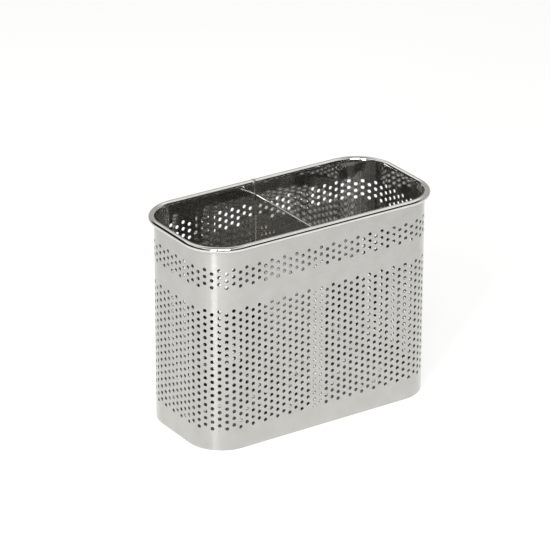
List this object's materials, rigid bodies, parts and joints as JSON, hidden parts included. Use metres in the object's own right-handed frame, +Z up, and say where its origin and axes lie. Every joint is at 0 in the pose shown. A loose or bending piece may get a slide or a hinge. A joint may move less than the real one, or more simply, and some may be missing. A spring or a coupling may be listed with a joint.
{
  "type": "utensil holder",
  "caption": "Tall open-topped holder of perforated stainless sheet with rounded corners, a rolled rim, a cross divider and hanging hooks on its back.",
  "frame": {"origin": "on the floor, under the middle of the whole object's box, hooks included", "axes": "+X to the right along the long side, +Y to the back where the hooks are, +Z up"},
  "size_m": [0.1762, 0.0878, 0.1365],
  "materials": {
    "wall": "thin perforated stainless sheet, bright with a fine grain",
    "rim": "polished stainless roll, mirror-like",
    "wire": "plain drawn steel wire, hidden inside the roll",
    "base": "satin stainless sheet",
    "divider": "bright stainless sheet",
    "hook": "brushed stainless strap",
    "weld": "slightly dull weld seam"
  },
  "bodies": {
    "root": {"wall_sheet": "wall", "rolled_rim": "rim", "rim_wire": "wire", "base_pan": "base", "divider": "divider", "hook_left": "hook", "hook_right": "hook", "seam_weld": "weld"}
  },
  "joints": []
}
